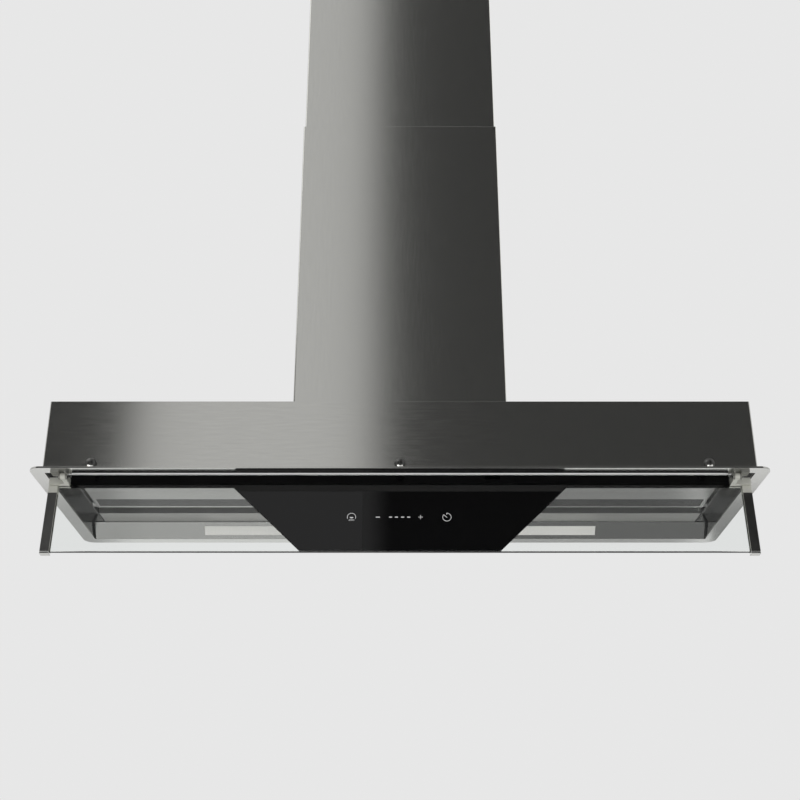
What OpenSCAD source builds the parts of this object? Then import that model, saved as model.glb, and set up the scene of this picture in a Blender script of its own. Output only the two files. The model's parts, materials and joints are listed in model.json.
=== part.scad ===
// Island range hood with a hinged glass visor, hung from the ceiling.
// X runs along the width, Y from the front to the back and Z up. The origin is the middle of the
// ceiling plate's top face. Heights are written from the underside of the rim, and hung() lowers
// each piece to its place below the ceiling. Depths are written from the middle of the hood.

/* [Hood] */
// Ceiling to the underside of the rim
drop = 950; // [880:5:1100]
// Width of the rim
rim_w = 900; // [860:5:1200]
// Depth of the rim
rim_d = 304; // [300:2:360]
// Width of the flat flange round the underside
flange_w = 17; // [16:0.5:20]
// Thickness of the folded flange
flange_t = 2.5; // [2:0.1:3]
// Radius of the rim's corners
rim_r = 15; // [6:0.5:18]
// Thickness of the steel sheet
sheet = 1; // [0.8:0.1:1.2]

/* [Canopy] */
// Step from the rim's edge to the canopy's face
canopy_inset = 14; // [12:0.5:14]
// Height of the canopy above the rim's underside
canopy_h = 94; // [90:1:130]
// Radius of the canopy's upright edges
canopy_r = 2; // [1.5:0.1:5]
// Radius of a cap screw's dome
cap_r = 7; // [5:0.5:8]
// Height of the cap screws above the rim's underside
cap_z = 11; // [10.5:0.5:13]
// Distance from the rim's side to the outer cap screws
cap_side = 73; // [50:1:120]

/* [Chimney] */
// Width of the lower sleeve
chimney_w = 270; // [268:1:300]
// Depth of the lower sleeve
chimney_d = 240; // [238:1:260]
// Length of the lower sleeve
lower_sleeve_h = 430; // [400:5:480]
// Gap between the two sleeves
sleeve_gap = 1; // [0.8:0.1:1.5]
// Length of the upper sleeve inside the lower one
sleeve_overlap = 40; // [30:1:80]
// Length of the upper sleeve's vent slots
vent_l = 70; // [40:1:100]
// Vent slots on each side of the upper sleeve
vent_count = 6; // [3:1:8]

/* [Tray] */
// Height of the tray's ceiling above the rim's underside
tray_h = 19.5; // [18:0.5:22]
// Height of the recess that holds the filters
recess_h = 42; // [40:0.5:48]
// Tray ceiling left beside the recess
side_strip = 16; // [12:1:30]
// Tray ceiling left in front of the recess
front_strip = 33; // [30:1:40]
// Tray ceiling left behind the recess
rear_strip = 36; // [30:1:40]
// Slope of the lamp panel
lamp_slope = 45; // [42:1:50]

/* [Suction panel] */
// Slot behind the suction panel
rear_slot = 28; // [24:1:34]
// Slots at the panel's front and sides
side_slot = 5; // [4:0.5:8]
// Height of the panel's folded edge
panel_t = 8; // [7:0.5:10]
// Step from the tray's ceiling down to the panel's face
panel_step = 1; // [0.5:0.1:2]
// Diameter of the panel's hinge pins
panel_pin_d = 5; // [4:0.1:5.5]

/* [Filters] */
// Width of one grease filter
filter_w = 290; // [240:1:300]
// Strip of the recess left in front of and behind the filters
filter_margin = 15; // [15:0.5:24]
// Thickness of a grease filter
filter_t = 9; // [8:0.5:12]
// Gap between the two filters
filter_gap = 14; // [12:1:30]
// Width of a filter's rim
filter_rim = 8; // [6:0.5:10]
// Folds in a filter's mesh
fold_count = 24; // [16:1:30]
// Travel of a filter latch
latch_travel = 5; // [4:0.5:6]

/* [Visor] */
// Distance from the rim's front edge back to the glass
visor_back = 38; // [36:0.5:40]
// Lean of the open visor, its lower edge towards the cook
visor_lean = 4; // [0:0.5:8]
// Width of the glass
glass_w = 848; // [810:1:1140]
// Height of the glass
glass_h = 102; // [90:1:130]
// Thickness of the glass
glass_t = 5; // [4:0.5:6]
// Height of the glass above the middle of the hinge blocks
glass_rise = 12.2; // [11:0.1:14]
// Height of the black band along the top of the glass
band_h = 15; // [12:0.5:20]
// Width of the control field at its top
field_top_w = 409; // [300:1:450]
// Width of the control field at its bottom
field_bottom_w = 242; // [180:1:280]
// Width of a side arm
arm_w = 11.5; // [11:0.5:14]
// Depth of a side arm
arm_d = 9; // [8:0.5:12]
// Length of an arm's pale head
head_h = 9.5; // [8:0.5:12]
// Height of the polished trim's front leg
trim_leg = 2.8; // [2:0.1:4]

/* [Visor hinge] */
// Distance from the rim's front edge back to the pivot
pivot_back = 12; // [11:0.5:13]
// Distance from the rim's underside down to the pivot
pivot_down = 6; // [5.8:0.1:7]
// Diameter of the hinge pin
hinge_pin_d = 4; // [3:0.1:4.4]
// Radius of the moving knuckle
knuckle_r = 4.4; // [4:0.1:4.5]
// Width of the moving knuckle
knuckle_w = 6; // [5:0.5:8]
// Distance from the middle of the hood to the knuckle
knuckle_x = 408.4; // [388:0.2:560]
// Thickness of the fixed leaf
leaf_t = 4.6; // [4:0.1:5]

/* [Blower] */
// Radius of the fan wheel
wheel_r = 60; // [56:1:62]
// Width of the fan wheel
wheel_w = 92; // [80:1:96]
// Radial depth of a fan blade
blade_depth = 11; // [9:0.5:13]
// Blades round the fan wheel
blade_count = 38; // [24:1:44]
// Thickness of a fan blade
blade_t = 0.9; // [0.7:0.1:1.2]
// Growth of the scroll round the wheel
scroll_growth = 22; // [18:1:23]
// Wall of the scroll
scroll_t = 1.5; // [1.2:0.1:2]
// Height of the fan's axis above the canopy
fan_rise = 88; // [86:1:96]
// Distance from the middle of the hood forward to the fan's axis
fan_forward = 12; // [10:1:14]
// Radius of the motor
motor_r = 37; // [32:1:39]
// Length of the motor
motor_l = 72; // [66:1:76]
// Width of the blower box
box_w = 208; // [200:1:208]
// Depth of the blower box
box_d = 176; // [172:1:178]
// Height of the blower box
box_h = 206; // [202:1:220]

/* [Outlet] */
// Outer diameter of the duct collar
collar_d = 150; // [145:1:154]
// Wall of the duct collar
collar_t = 1.5; // [1.2:0.1:2]
// Height of the duct collar
collar_h = 70; // [60:1:90]
// Height of the transition below the collar
adapter_h = 45; // [35:1:50]
// Diameter of the damper's rod
rod_d = 4; // [3:0.1:5]
// Height of the damper's rod in the collar
rod_z = 14; // [12:1:20]
// Thickness of a damper flap
flap_t = 1.2; // [1:0.1:2]

/* [Lattice] */
// Leg of an angle post
post_leg = 20; // [16:0.5:20]
// Thickness of an angle post
post_t = 1.5; // [1.2:0.1:2]
// Length of the lower posts
lower_post_h = 400; // [380:5:460]
// Overlap of the upper and lower posts
post_overlap = 90; // [60:5:140]
// Pitch of the holes along the posts
hole_pitch = 30; // [20:1:40]
// Height of a ring that ties the posts
tie_h = 18; // [14:1:24]
// Distance from the ceiling plate down to the upper ring
tie_drop = 130; // [100:5:180]
// Thickness of the ceiling plate
plate_t = 3; // [2.5:0.1:5]
// Spacing of the ceiling bolts
bolt_spacing = 190; // [180:1:194]
// Diameter of the ceiling bolt holes
bolt_hole_d = 9; // [7:0.1:10]
// Diameter of the opening in the ceiling plate
plate_bore_d = 165; // [156:1:170]
// Diameter of the hole for the mains lead in the ceiling plate
lead_hole_d = 13; // [10:0.5:14]

/* [Lamps] */
// Length of a lamp
lamp_l = 200; // [120:1:220]
// Width of a lamp's lens
lamp_w = 14; // [12:0.5:15]
// Distance from the middle of the hood to a lamp's outer end
lamp_end = 276; // [260:1:380]
// Depth of a lamp's housing
lamp_depth = 5; // [4:0.1:5.2]

/* [Electrics] */
// Length of the control box
control_l = 110; // [90:1:130]
// Depth of the control box
control_d = 76; // [70:1:90]
// Height of the control box
control_h = 34; // [30:1:40]
// Wall of the control box
control_t = 2; // [1.5:0.1:3]
// Distance from the rim's side to the middle of the electrics
electric_side = 120; // [110:1:132]
// Length of the lamps' driver
driver_l = 120; // [100:1:140]
// Depth of the lamps' driver
driver_d = 44; // [36:1:60]
// Height of the lamps' driver
driver_h = 24; // [20:1:34]
// Diameter of the cable gland
gland_d = 16; // [12:0.5:18]

/* [Hidden] */
$fn = 64;
cut = 0.5;              // how far a cutting solid runs past a face
run_gap = 0.05;         // radial clearance of a pin in its hole
side_gap = 0.3;         // clearance beside a part that moves
screw_r = 2;
screw_gap = 0.1;
stud_r = 3;
nut_t = 3.6;

// Faces of the hood
front_y = -rim_d / 2;
rear_y = rim_d / 2;
canopy_w = rim_w - 2 * canopy_inset;
canopy_d = rim_d - 2 * canopy_inset;
tray_w = rim_w - 2 * flange_w;
tray_d = rim_d - 2 * flange_w;
recess_w = tray_w - 2 * side_strip;
recess_front = front_y + flange_w + front_strip;
lamp_foot = rear_y - flange_w - sheet;
lamp_run = tray_h / tan(lamp_slope);
recess_rear = lamp_foot - lamp_run - rear_strip;
recess_d = recess_rear - recess_front;
recess_y = (recess_front + recess_rear) / 2;

// Chimney and lattice
sleeve_step = sheet + sleeve_gap;
upper_w = chimney_w - 2 * sleeve_step;
upper_d = chimney_d - 2 * sleeve_step;
upper_bottom = canopy_h + lower_sleeve_h - sleeve_overlap;
lattice_w = upper_w - 2 * sleeve_step;
lattice_d = upper_d - 2 * sleeve_step;
pad_t = sleeve_gap - side_gap;
pad_l = 24;
pad_h = 10;
vent_h = 4;
post_foot = canopy_h + post_t;
upper_post_foot = post_foot + lower_post_h - post_overlap;
plate_under = drop - plate_t;
washer_t = 1.6;
gland_x = (box_w + lattice_w) / 4 + 2;
lug_w = 4;

// Suction panel
panel_w = recess_w - 2 * side_slot;
panel_front = recess_front + side_slot;
panel_rear = recess_rear - rear_slot;
panel_d = panel_rear - panel_front;
panel_z = tray_h - panel_step;
panel_axis_y = panel_rear - panel_t / 2;
panel_axis_z = panel_z + panel_t / 2;

// Filters
filter_x = (filter_w + filter_gap) / 2;
filter_z = recess_h - 2;
filter_d = recess_d - 2 * filter_margin;
latch_y = recess_front + filter_margin;

// Visor: distances in its own leaning frame, whose origin is on the glass beside the rim
visor_y = front_y + visor_back;
pivot_y = front_y + pivot_back;
pivot_z = -pivot_down;
knuckle_y = (pivot_y - visor_y) * cos(visor_lean) - pivot_z * sin(visor_lean);
knuckle_z = (pivot_y - visor_y) * sin(visor_lean) + pivot_z * cos(visor_lean);
block_mid = -6.2;
block_h = 8.6;
block_front = -glass_t / 2 - 6;
block_back = glass_t / 2 + 3;
glass_top = block_mid + glass_rise;
glass_bottom = glass_top - glass_h;
head_top = block_mid - block_h / 2;
arm_top = head_top - head_h;
arm_out = glass_w / 2 + arm_w - 4.5;
block_out = arm_out - 1;
cap_h = 3;
film_t = 0.5;
trim_t = 1.4;
field_top = glass_top - trim_leg - band_h;
field_h = field_top - glass_bottom - 2;

// Blower
fan_z = canopy_h + fan_rise;
scroll_start = wheel_r + 3;
scroll_end = scroll_start + scroll_growth;
scroll_w = wheel_w + 8;
tongue_angle = 75;
throat_y = scroll_start * cos(tongue_angle);
throat_h = canopy_h + box_h - sheet - fan_z;
inlet_r = wheel_r - blade_depth + 1;
disc_x = -8;
shaft_r = 4;
adapter_z = canopy_h + box_h;
collar_z = adapter_z + adapter_h;
flap_r = collar_d / 2 - collar_t - 1;
lip_z = rod_z - flap_t / 2 - side_gap;
knuckle_len = 22;

// ---- shared shapes ----

// Lowers a piece whose heights are written from the rim's underside
module hung() translate([0, 0, -drop]) children();

// The visor's own frame, leaning about a line on the glass beside the rim
module on_visor() hung() translate([0, visor_y, 0]) rotate([-visor_lean, 0, 0]) children();

// The lamp panel's frame: X along the hood, Y up the slope, Z out of the visible face
module on_slope() hung() translate([0, lamp_foot, 0]) rotate([180 - lamp_slope, 0, 0]) children();

// The fan's frame: Z along the axis, X to the back and Y up
module on_fan() hung() translate([0, -fan_forward, fan_z]) rotate([90, 0, 90]) children();

module mirrored_x() {
    children();
    mirror([1, 0, 0]) children();
}

module mirrored_y() {
    children();
    mirror([0, 1, 0]) children();
}

module rounded(w, d, r) {
    square([w - 2 * r, d], center = true);
    square([w, d - 2 * r], center = true);
    for (x = [-1, 1], y = [-1, 1])
        translate([x * (w / 2 - r), y * (d / 2 - r)]) circle(r);
}

// Upright prism with rounded corners, from z0 to z1
module prism(w, d, r, z0, z1) translate([0, 0, z0]) linear_extrude(z1 - z0) rounded(w, d, r);

// Box given by its low and high corners
module block(low, high) translate(low) cube(high - low);

// Box given by its middle and its size
module block_at(middle, size) translate(middle) cube(size, center = true);

// Square tube standing on z0
module sleeve(w, d, z0, z1) difference() {
    prism(w, d, canopy_r, z0, z1);
    prism(w - 2 * sheet, d - 2 * sheet, canopy_r - sheet, z0 - cut, z1 + cut);
}

// Rod along X
module rod_x(r, x0, x1) translate([x0, 0, 0]) rotate([0, 90, 0]) cylinder(r = r, h = x1 - x0);

// ---- lattice and ceiling plate ----

module bolt_places() for (x = [-1, 1], y = [-1, 1])
    translate([x * bolt_spacing / 2, y * bolt_spacing / 2, 0]) children();

module ceiling_plate() color("silver") difference() {
    translate([0, 0, -plate_t]) linear_extrude(plate_t) rounded(lattice_w, lattice_d, 3);
    translate([0, 0, -plate_t - cut]) cylinder(d = plate_bore_d, h = plate_t + 2 * cut);
    bolt_places() translate([0, 0, -plate_t - cut]) cylinder(d = bolt_hole_d, h = plate_t + 2 * cut);
    translate([gland_x, 0, -plate_t - cut]) cylinder(d = lead_hole_d, h = plate_t + 2 * cut);
}

module anchor_washers() color("gainsboro") bolt_places() translate([0, 0, -plate_t - washer_t])
    difference() {
        cylinder(d = 2 * bolt_hole_d, h = washer_t);
        translate([0, 0, -cut]) cylinder(d = bolt_hole_d, h = washer_t + 2 * cut);
    }

// One angle post with its outer corner at w/2, d/2 and a row of holes in each leg
module post(w, d, z0, z1, holes) difference() {
    block([w / 2 - post_leg, d / 2 - post_leg, z0], [w / 2, d / 2, z1]);
    block([w / 2 - post_leg - cut, d / 2 - post_leg - cut, z0 - cut],
        [w / 2 - post_t, d / 2 - post_t, z1 + cut]);
    post_hole_places(holes) cylinder(r = screw_r + screw_gap, h = 6 * post_t, center = true, $fn = 24);
}

// Axes of the holes that both sets of posts share, numbered from the overlap upwards
module post_hole_places(holes) for (i = holes)
    translate([lattice_w / 2 - post_leg / 2 - post_t, lattice_d / 2, upper_post_foot + hole_pitch * (i + 0.5)])
        rotate([90, 0, 0]) children();

overlap_holes = floor(post_overlap / hole_pitch);
upper_holes = floor((plate_under - upper_post_foot) / hole_pitch);

module lower_posts() color("lightsteelblue") hung() mirrored_x() mirrored_y()
    post(lattice_w, lattice_d, post_foot, post_foot + lower_post_h, [0 : overlap_holes - 1]);

module upper_posts() color("lightsteelblue") hung() mirrored_x() mirrored_y()
    post(lattice_w - 2 * post_t, lattice_d - 2 * post_t, upper_post_foot, plate_under, [0 : upper_holes - 1]);

// Screws through the overlap of the posts, with their heads inside
module post_screws() color("dimgray") hung() mirrored_x() mirrored_y()
    post_hole_places([0, overlap_holes - 1]) {
        cylinder(r = screw_r, h = 2 * post_t + cut, $fn = 24);
        translate([0, 0, 2 * post_t]) cylinder(r = 2 * screw_r, h = 2.4, $fn = 24);
    }

module ring(w, d, z0) difference() {
    block([-w / 2, -d / 2, z0], [w / 2, d / 2, z0 + tie_h]);
    block([-w / 2 + post_t, -d / 2 + post_t, z0 - cut], [w / 2 - post_t, d / 2 - post_t, z0 + tie_h + cut]);
}

// Rings that tie the posts, one round the lower set and one round the upper set
module tie_rings() color("lightsteelblue") hung() {
    ring(lattice_w - 2 * post_t, lattice_d - 2 * post_t, upper_post_foot - post_leg / 2 - tie_h);
    ring(lattice_w - 4 * post_t, lattice_d - 4 * post_t, plate_under - tie_drop - tie_h);
}

// Flat frame that carries the lower posts on the canopy
module base_ring() color("lightsteelblue") hung() difference() {
    block([-lattice_w / 2, -lattice_d / 2, canopy_h], [lattice_w / 2, lattice_d / 2, post_foot]);
    block([-box_w / 2 - lug_w, -box_d / 2 - lug_w, canopy_h - cut],
        [box_w / 2 + lug_w, box_d / 2 + lug_w, post_foot + cut]);
    translate([gland_x, 0, canopy_h - cut]) cylinder(d = gland_d + 1, h = post_t + 2 * cut);
}

// ---- chimney ----

module lower_chimney() color("silver") hung()
    sleeve(chimney_w, chimney_d, canopy_h, canopy_h + lower_sleeve_h);

// Pads at the lower sleeve's mouth that centre the upper sleeve
module sleeve_pads() color("black") hung() translate([0, 0, canopy_h + lower_sleeve_h - 1.5 * pad_h])
    for (x = [-1, 1], y = [-1, 1]) {
        block_at([x * upper_w / 3, y * (chimney_d / 2 - sheet - pad_t / 2), 0], [pad_l, pad_t, pad_h]);
        block_at([x * (chimney_w / 2 - sheet - pad_t / 2), y * upper_d / 3, 0], [pad_t, pad_l, pad_h]);
    }

module upper_chimney() color("silver") hung() difference() {
    sleeve(upper_w, upper_d, upper_bottom, drop);
    for (i = [0 : vent_count - 1]) translate([0, 0, drop - 30 - 3 * vent_h * i])
        cube([upper_w + 2 * cut, vent_l, vent_h], center = true);
}

// ---- canopy, rim and tray ----

module cap_places() for (x = [-1, 0, 1]) translate([x * (rim_w / 2 - cap_side), 0, cap_z]) children();

module canopy_shell() color("silver") hung() difference() {
    prism(canopy_w, canopy_d, canopy_r, flange_t, canopy_h);
    prism(canopy_w - 2 * sheet, canopy_d - 2 * sheet, canopy_r - sheet, flange_t - cut, canopy_h - sheet);
    block([-box_w / 2 + sheet, -box_d / 2 + sheet, canopy_h - sheet - cut],
        [box_w / 2 - sheet, box_d / 2 - sheet, canopy_h + cut]);
    cap_places() translate([0, -canopy_d / 2, 0]) rotate([90, 0, 0])
        cylinder(r = stud_r + screw_gap, h = 4 * sheet, center = true);
    translate([gland_x, 0, canopy_h - sheet - cut]) cylinder(d = gland_d - 4, h = sheet + 2 * cut);
}

module rim_frame() color("gainsboro") hung() difference() {
    prism(rim_w, rim_d, rim_r, 0, flange_t);
    prism(tray_w, tray_d, 1, -cut, flange_t + cut);
}

// Opening left in the recess for one filter
module filter_places() for (x = [-1, 1]) translate([x * filter_x, recess_y, 0]) children();

module tray_liner() color("gainsboro") hung() difference() {
    union() {
        prism(tray_w + 2 * sheet, tray_d + 2 * sheet, 2, flange_t, tray_h + sheet);
        translate([0, recess_y, 0])
            prism(recess_w + 2 * sheet, recess_d + 2 * sheet, 2, tray_h, recess_h + sheet);
    }
    prism(tray_w, tray_d, 1, flange_t - cut, tray_h);
    translate([0, recess_y, 0]) prism(recess_w, recess_d, 1, tray_h - cut, recess_h);
    filter_places() translate([0, 0, recess_h - cut])
        linear_extrude(sheet + 2 * cut) square([filter_w + 1, filter_d + 1], center = true);
    cap_places() translate([0, -tray_d / 2, 0]) rotate([90, 0, 0])
        cylinder(r = stud_r + screw_gap, h = 4 * sheet, center = true);
}

// Domed screws that clamp the canopy's front to the tray's front wall
module cap_screws() color("whitesmoke") hung() cap_places()
    translate([0, -canopy_d / 2, 0]) rotate([90, 0, 0]) {
        intersection() {
            sphere(cap_r, $fn = 48);
            cylinder(r = cap_r + cut, h = cap_r);
        }
        translate([0, 0, canopy_inset - flange_w - nut_t - 1.4])
            cylinder(r = stud_r, h = flange_w - canopy_inset + nut_t + 1.4 + cut);
    }

module cap_nuts() color("dimgray") hung() cap_places()
    translate([0, nut_t - tray_d / 2, 0]) rotate([90, 0, 0]) difference() {
        cylinder(r = 1.8 * stud_r, h = nut_t, $fn = 6);
        translate([0, 0, -cut]) cylinder(r = stud_r, h = nut_t + 2 * cut);
    }

// ---- lamps ----

lamp_mid = (tray_h - sheet * cos(lamp_slope)) / sin(lamp_slope) / 2;
lamp_wall = 1;
lens_proud = 0.3;
board_t = 1.2;
led_count = 8;

module lamp_places() for (x = [-1, 1]) translate([x * (lamp_end - lamp_l / 2), lamp_mid, 0]) children();

module lamp_panel() color("silver") difference() {
    on_slope() translate([-tray_w / 2, 0, -sheet]) cube([tray_w, 2 * lamp_mid, sheet]);
    on_slope() lamp_places() cube([lamp_l, lamp_w, 4 * sheet], center = true);
}

module lamp_housings() color("darkgray") on_slope() lamp_places()
    translate([0, 0, -sheet]) difference() {
        translate([0, 0, -lamp_depth / 2])
            cube([lamp_l + 4 * lamp_wall, lamp_w + 2 * lamp_wall, lamp_depth], center = true);
        translate([0, 0, lamp_wall - lamp_depth / 2]) cube([lamp_l, lamp_w, lamp_depth], center = true);
    }

module led_boards() color("ivory") on_slope() lamp_places()
    translate([0, 0, lamp_wall - sheet - lamp_depth]) {
        translate([0, 0, board_t / 2]) cube([lamp_l - 4, lamp_w - 4, board_t], center = true);
        for (i = [0 : led_count - 1])
            translate([(i - (led_count - 1) / 2) * lamp_l / (led_count + 0.5), 0, board_t + 0.3])
                cube([5, 5, 0.6], center = true);
    }

module lamp_lenses() color("white") on_slope() lamp_places()
    translate([0, 0, (lens_proud - sheet) / 2]) cube([lamp_l, lamp_w, sheet + lens_proud], center = true);

// ---- electrics above the tray ----

electric_x = rim_w / 2 - electric_side;
roof_z = canopy_h - sheet;      // underside of the canopy's top
terminal_h = 14;
capacitor_r = 16;
capacitor_l = 60;

// Frame of the electrics on one side: the origin is on the underside of the canopy's top
module under_roof(side) hung() translate([side * electric_x, 0, roof_z]) children();

module control_box() color("dimgray") under_roof(-1) difference() {
    block([-control_l / 2, -control_d / 2, -control_h], [control_l / 2, control_d / 2, 0]);
    block([control_t - control_l / 2, control_t - control_d / 2, -control_h - cut],
        [control_l / 2 - control_t, control_d / 2 - control_t, -control_t]);
}

module control_lid() color("gray") under_roof(-1)
    block([-control_l / 2, -control_d / 2, -control_h - control_t], [control_l / 2, control_d / 2, -control_h]);

module terminal_block() color("ivory") under_roof(-1) translate([0, 0, -control_t - terminal_h])
    difference() {
        block([-30, -10, 0], [30, 10, terminal_h]);
        for (i = [-2 : 2]) translate([i * 11, 0, -cut]) cylinder(r = 2.5, h = 8, $fn = 24);
    }

module led_driver() color("white") under_roof(1)
    block([-driver_l / 2, -driver_d / 2, -driver_h], [driver_l / 2, driver_d / 2, 0]);

module capacitor() color("whitesmoke") under_roof(-1)
    translate([0, control_d / 2 + capacitor_r + 6, -capacitor_r]) {
        rod_x(capacitor_r, -capacitor_l / 2, capacitor_l / 2);
        rod_x(4, capacitor_l / 2, capacitor_l / 2 + 10);
    }

// Gland where the mains lead enters, inside the chimney's foot
module cable_gland() color("dimgray") hung()
    translate([gland_x, 0, canopy_h - sheet - 4]) difference() {
        union() {
            cylinder(d = gland_d, h = 4, $fn = 6);
            cylinder(d = gland_d - 4.2, h = 20);
            translate([0, 0, 4 + sheet]) cylinder(d = gland_d, h = 9, $fn = 6);
        }
        translate([0, 0, -cut]) cylinder(d = gland_d - 9, h = 21);
    }

// ---- grease filters ----

module filter_frames() color("silver") hung() filter_places() translate([0, 0, filter_z]) {
    difference() {
        linear_extrude(filter_t) square([filter_w, filter_d], center = true);
        translate([0, 0, -cut]) linear_extrude(filter_t + 2 * cut)
            square([filter_w - 2 * filter_rim, filter_d - 2 * filter_rim], center = true);
        translate([0, (filter_rim - filter_d) / 2, 0])
            cube([40, filter_rim + cut, 2 * (filter_t - 1)], center = true);
    }
    // Tongues at the back that rest on the recess
    for (x = [-1, 1]) translate([x * filter_w / 4 - 10, filter_d / 2 - 4, recess_h + sheet - filter_z])
        cube([20, 10, 1.5]);
}

function fold(i) = [(i / fold_count / 2 - 0.5) * (filter_w - 2 * filter_rim), (i % 2) * (filter_t - 3)];

// Folded sheets of mesh that fill a filter's frame
module filter_meshes() color("lightgray") hung() filter_places() translate([0, 0, filter_z + 1])
    rotate([90, 0, 0]) linear_extrude(filter_d - 2 * filter_rim, center = true) polygon(concat(
        [for (i = [0 : 2 * fold_count]) fold(i)],
        [for (i = [2 * fold_count : -1 : 0]) fold(i) + [0, 1]]));

// Sliding catch that holds a filter's front edge
module filter_latch(side) color("dimgray") hung() translate([side * filter_x, latch_y, filter_z]) {
    translate([-24, 0, -side_gap - 2]) cube([48, 11, 2]);
    translate([-18, 0, -side_gap - 1]) cube([36, 2.5, recess_h + sheet - filter_z + 3]);
    translate([-18, 1 - latch_travel, recess_h + sheet - filter_z + side_gap])
        cube([36, latch_travel + 1.5, 2.5]);
    translate([-10, 7, -side_gap - 7]) cube([20, 2.5, 5.5]);
}

module latch_left() filter_latch(-1);

module latch_right() filter_latch(1);

// ---- suction panel ----

module on_panel() hung() translate([0, panel_axis_y, panel_axis_z]) children();

module suction_panel() color("silver") difference() {
    hung() difference() {
        translate([0, (panel_front + panel_rear) / 2, 0]) prism(panel_w, panel_d, 2, panel_z, panel_z + panel_t);
        translate([0, (panel_front + panel_rear) / 2, 0])
            prism(panel_w - 2 * sheet, panel_d - 2 * sheet, 1, panel_z + sheet, panel_z + panel_t + cut);
    }
    on_panel() rod_x(panel_pin_d / 2 + run_gap, -panel_w, panel_w);
}

module panel_pins() color("dimgray") on_panel() mirrored_x() {
    rod_x(panel_pin_d / 2, panel_w / 2 - 12, recess_w / 2);
    rod_x(panel_t / 2, panel_w / 2 + side_gap, recess_w / 2);
}

module magnet_places() for (x = [-1, 1])
    translate([x * panel_w / 4, panel_front + sheet, 0]) children();

module panel_magnets() color("dimgray") hung() magnet_places()
    translate([-12, 0, panel_z + sheet]) cube([24, 12, panel_t - sheet]);

// Posts that hang from the recess in front of the filters and meet the magnets
module magnet_posts() color("gray") hung() magnet_places()
    translate([-10, 1, panel_z + panel_t + side_gap])
        cube([20, latch_y - panel_front - sheet - 2, recess_h - panel_z - panel_t - side_gap]);

// ---- blower ----

// Outline of the scroll, grown outwards by o, from the tongue round to the throat
function scroll_point(a, o) = let (r = scroll_start + o + scroll_growth * (a - tongue_angle)
    / (360 - tongue_angle)) [r * cos(a), r * sin(a)];

module scroll_outline(o, top) polygon(concat(
    [for (i = [0 : 44]) scroll_point(tongue_angle + i * (360 - tongue_angle) / 44, o)],
    [[scroll_end + o, top], [throat_y - o, top]]));

// Half of the scroll, from the middle of the fan outwards
module scroll_half() difference() {
    union() {
        linear_extrude(scroll_w / 2 + scroll_t) scroll_outline(scroll_t, throat_h);
        // Flange that meets the top of the blower box
        translate([throat_y - scroll_t - 6, throat_h - 2, 0])
            cube([scroll_end - throat_y + 2 * scroll_t + 9, 2, scroll_w / 2 + scroll_t + 8]);
    }
    translate([0, 0, -cut]) linear_extrude(scroll_w / 2 + cut) scroll_outline(0, throat_h + cut);
    cylinder(r = inlet_r, h = scroll_w);
}

module inlet_lip() translate([0, 0, scroll_w / 2 + scroll_t]) rotate_extrude()
    translate([inlet_r, 0]) difference() {
        square([4, 3]);
        translate([4, 3]) circle(2.5, $fn = 32);
    }

module scroll_left() color("darkgray") on_fan() mirror([0, 0, 1]) {
    scroll_half();
    inlet_lip();
}

module scroll_right() color("darkgray") on_fan() {
    scroll_half();
    inlet_lip();
}

// Forward-curved blade: an arc from the inner to the outer circle
function blade_point(i, n, o) = let (s = i / n, r = wheel_r - blade_depth + s * (blade_depth - 1),
    a = 34 * s * s) [(r) * cos(a) - o * sin(a + 40 * s), r * sin(a) + o * cos(a + 40 * s)];

module blade_outline() polygon(concat(
    [for (i = [0 : 6]) blade_point(i, 6, 0)],
    [for (i = [6 : -1 : 0]) blade_point(i, 6, blade_t)]));

module fan_wheel() color("slategray") on_fan() difference() {
    union() {
        for (z = [-wheel_w / 2, wheel_w / 2 - 3]) translate([0, 0, z]) difference() {
            cylinder(r = wheel_r, h = 3);
            translate([0, 0, -cut]) cylinder(r = wheel_r - blade_depth, h = 3 + 2 * cut);
        }
        for (i = [0 : blade_count - 1]) rotate(i * 360 / blade_count)
            translate([0, 0, -wheel_w / 2 + 1]) linear_extrude(wheel_w - 2) blade_outline();
        translate([0, 0, disc_x]) cylinder(r = wheel_r - 0.5, h = 1.6);
        translate([0, 0, disc_x - 8]) cylinder(r = 11, h = 12);
    }
    translate([0, 0, disc_x - 8 - cut]) cylinder(r = shaft_r, h = 20);
}

module motor_shaft() color("gainsboro") on_fan() translate([0, 0, disc_x - 12])
    cylinder(r = shaft_r, h = 46);

module motor() color("gainsboro") on_fan() difference() {
    union() {
        cylinder(r = motor_r, h = motor_l);
        for (z = [14, motor_l - 21]) translate([0, 0, z]) cylinder(r = motor_r + 1.5, h = 3);
        translate([0, 0, -2]) cylinder(r = 12, h = 3);
        translate([0, 0, motor_l - cut]) cylinder(r = 12, h = 4);
    }
    translate([0, 0, -3]) cylinder(r = shaft_r + run_gap, h = 44);
}

bracket_z = scroll_w / 2 + scroll_t + 5;

mount_angles = [60, 180, 300];
mount_r = 6;

module mount_places() for (a = mount_angles) rotate(a)
    translate([inlet_r + mount_r + 4.5, 0, 0]) children();

module motor_bracket() color("silver") on_fan() translate([0, 0, bracket_z]) difference() {
    union() {
        cylinder(r = motor_r + 6, h = 3);
        for (a = mount_angles) rotate(a) translate([0, -mount_r, 0])
            cube([inlet_r + mount_r + 4.5, 2 * mount_r, 3]);
        mount_places() cylinder(r = mount_r, h = 3);
    }
    translate([0, 0, -cut]) cylinder(r = motor_r, h = 4);
}

module motor_mounts() color("black") on_fan() translate([0, 0, scroll_w / 2 + scroll_t]) mount_places()
    cylinder(r = mount_r, h = 5);

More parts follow.
